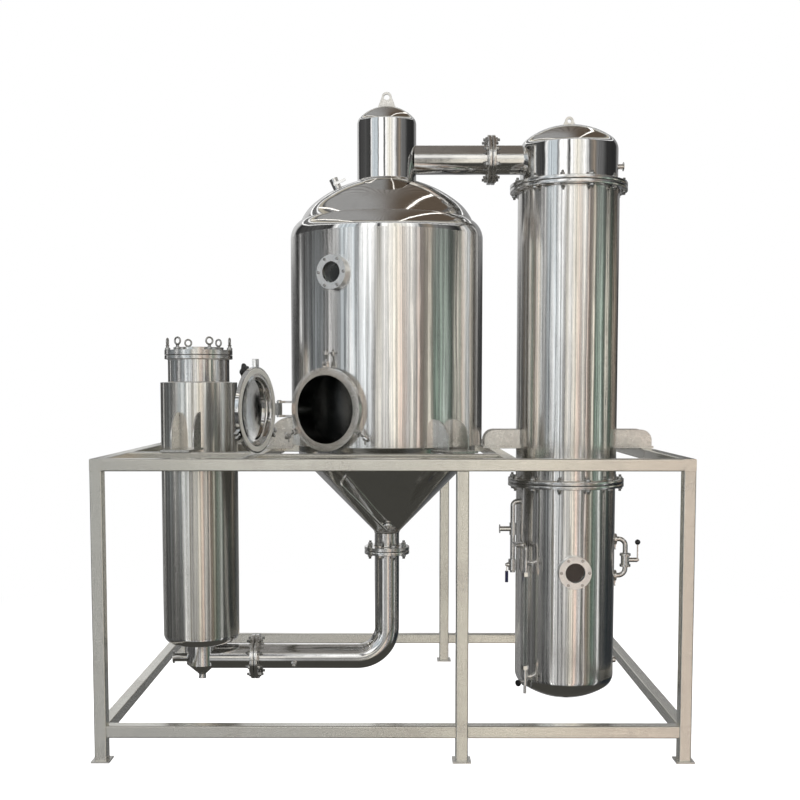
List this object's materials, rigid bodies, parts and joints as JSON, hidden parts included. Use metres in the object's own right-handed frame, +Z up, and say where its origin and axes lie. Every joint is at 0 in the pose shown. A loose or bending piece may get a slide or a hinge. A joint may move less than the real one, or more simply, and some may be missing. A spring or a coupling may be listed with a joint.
{
  "type": "single effect evaporator",
  "caption": "Free-standing stainless evaporator plant: tube heater, conical separator with manhole, condenser and receiver on one open deck frame.",
  "frame": {"origin": "on the floor, under the middle of the deck frame", "axes": "+Z up, +X to the right along the frame's length, -Y towards the viewer"},
  "size_m": [2.93, 2.03, 3.4629],
  "materials": {
    "frame_steel": "satin brushed stainless tube",
    "polished_steel": "mirror-polished stainless sheet",
    "bolt_steel": "machined stainless fasteners",
    "wire_mesh": "knitted stainless wire",
    "gasket_white": "matte white silicone",
    "clear_glass": "clear borosilicate glass",
    "black_plastic": "black phenolic, slightly glossy",
    "blue_plastic": "dark blue dipped vinyl"
  },
  "bodies": {
    "plant": {"base_rails": "frame_steel", "bypass_pipes": "polished_steel", "bypass_valve_body": "polished_steel", "circulation_pipe": "polished_steel", "condenser_cover": "polished_steel", "condenser_flange_bolts": "bolt_steel", "condenser_shell": "polished_steel", "condenser_tube_bundle": "polished_steel", "cone_tube": "polished_steel", "deck_cross_members": "frame_steel", "deck_long_rails": "frame_steel", "deck_side_rails": "frame_steel", "deck_support_rails": "frame_steel", "dome_valve_body": "polished_steel", "ferrule_clamps": "polished_steel", "flange_gaskets": "gasket_white", "foot_plates": "frame_steel", "frame_legs": "frame_steel", "gauge_cocks": "polished_steel", "gauge_tube": "clear_glass", "heater_cover": "polished_steel", "heater_eye_bolts": "bolt_steel", "heater_jacket": "polished_steel", "heater_shell": "polished_steel", "heater_tube_bundle": "polished_steel", "lifting_lugs": "polished_steel", "manhole_neck": "polished_steel", "manhole_pins": "bolt_steel", "pipe_flange_bolts": "bolt_steel", "receiver_tank": "polished_steel", "separator_demister": "wire_mesh", "separator_dome": "polished_steel", "separator_jacket": "polished_steel", "separator_shell": "polished_steel", "sight_blocks": "polished_steel", "sight_panes": "clear_glass", "sight_rings": "polished_steel", "sight_screws": "bolt_steel", "support_lugs": "polished_steel", "vapour_pipe": "polished_steel", "vent_pipe": "polished_steel", "vent_valve_bodies": "polished_steel"},
    "manhole_cover": {"manhole_cover": "polished_steel", "manhole_cover_gasket": "gasket_white", "manhole_cover_knob": "black_plastic"},
    "swing_bolt_top": {"manhole_swing_bolt_top": "bolt_steel"},
    "swing_bolt_right": {"manhole_swing_bolt_right": "bolt_steel"},
    "swing_bolt_left": {"manhole_swing_bolt_left": "bolt_steel"},
    "wing_nut_top": {"manhole_wing_nut_top": "bolt_steel"},
    "wing_nut_right": {"manhole_wing_nut_right": "bolt_steel"},
    "wing_nut_left": {"manhole_wing_nut_left": "bolt_steel"},
    "bypass_lever": {"bypass_valve_lever": "polished_steel", "bypass_valve_knob": "black_plastic"},
    "vent_lever": {"vent_valve_lever": "polished_steel", "vent_lever_grip": "blue_plastic"},
    "side_cock_lever": {"side_cock_lever": "polished_steel"},
    "gauge_top_lever": {"gauge_top_lever": "polished_steel"},
    "gauge_bottom_lever": {"gauge_bottom_lever": "polished_steel"},
    "gauge_drain_wheel": {"gauge_drain_wheel": "black_plastic"},
    "dome_valve_lever": {"dome_valve_lever": "polished_steel"}
  },
  "joints": [
    {"name": "manhole_cover_swing", "type": "hinge", "parent": "plant", "child": "manhole_cover", "pos_m": [-0.60931, -0.34668, 1.705], "axis": [0, 0, 1], "range_deg": [-60, 75]},
    {"name": "swing_bolt_top_turn", "type": "hinge", "parent": "plant", "child": "swing_bolt_top", "pos_m": [-0.3508, -0.48475, 1.945], "axis": [0.8387, -0.5446, 0], "range_deg": [0, 100]},
    {"name": "wing_nut_top_travel", "type": "slide", "parent": "swing_bolt_top", "child": "wing_nut_top", "axis": [-0.0946, -0.1456, -0.9848], "range_m": [-0.008, 0.008]},
    {"name": "swing_bolt_right_turn", "type": "hinge", "parent": "plant", "child": "swing_bolt_right", "pos_m": [-0.17649, -0.59795, 1.585], "axis": [-0.4193, 0.2723, -0.866], "range_deg": [0, 90]},
    {"name": "wing_nut_right_travel", "type": "slide", "parent": "swing_bolt_right", "child": "wing_nut_right", "axis": [-0.7263, 0.4717, 0.5], "range_m": [-0.008, 0.008]},
    {"name": "swing_bolt_left_turn", "type": "hinge", "parent": "plant", "child": "swing_bolt_left", "pos_m": [-0.52512, -0.37155, 1.585], "axis": [-0.4193, 0.2723, 0.866], "range_deg": [0, 90]},
    {"name": "wing_nut_left_travel", "type": "slide", "parent": "swing_bolt_left", "child": "wing_nut_left", "axis": [0.7263, -0.4717, 0.5], "range_m": [-0.008, 0.008]},
    {"name": "bypass_valve_turn", "type": "hinge", "parent": "plant", "child": "bypass_lever", "pos_m": [1.398, 0, 0.834], "axis": [1, 0, 0], "range_deg": [0, 90]},
    {"name": "vent_valve_turn", "type": "hinge", "parent": "plant", "child": "vent_lever", "pos_m": [0.64782, -0.06487, 0.817], "axis": [-1, 0, 0], "range_deg": [0, 90]},
    {"name": "side_cock_turn", "type": "hinge", "parent": "plant", "child": "side_cock_lever", "pos_m": [0.68978, -0.18888, 0.945], "axis": [-0.943, -0.3329, 0], "range_deg": [0, 90]},
    {"name": "gauge_top_turn", "type": "hinge", "parent": "plant", "child": "gauge_top_lever", "pos_m": [0.76349, -0.25686, 0.848], "axis": [-0.6691, 0.7431, 0], "range_deg": [0, 90]},
    {"name": "gauge_bottom_turn", "type": "hinge", "parent": "plant", "child": "gauge_bottom_lever", "pos_m": [0.76349, -0.25686, 0.208], "axis": [-0.6691, 0.7431, 0], "range_deg": [0, 90]},
    {"name": "gauge_drain_turn", "type": "hinge", "parent": "plant", "child": "gauge_drain_wheel", "pos_m": [0.6954, -0.25895, 0.188], "axis": [-0.7431, -0.6691, 0], "range_deg": [0, 360]},
    {"name": "dome_valve_turn", "type": "hinge", "parent": "plant", "child": "dome_valve_lever", "pos_m": [-0.32108, -0.03, 2.95431], "axis": [0, -1, 0], "range_deg": [0, 90]}
  ]
}
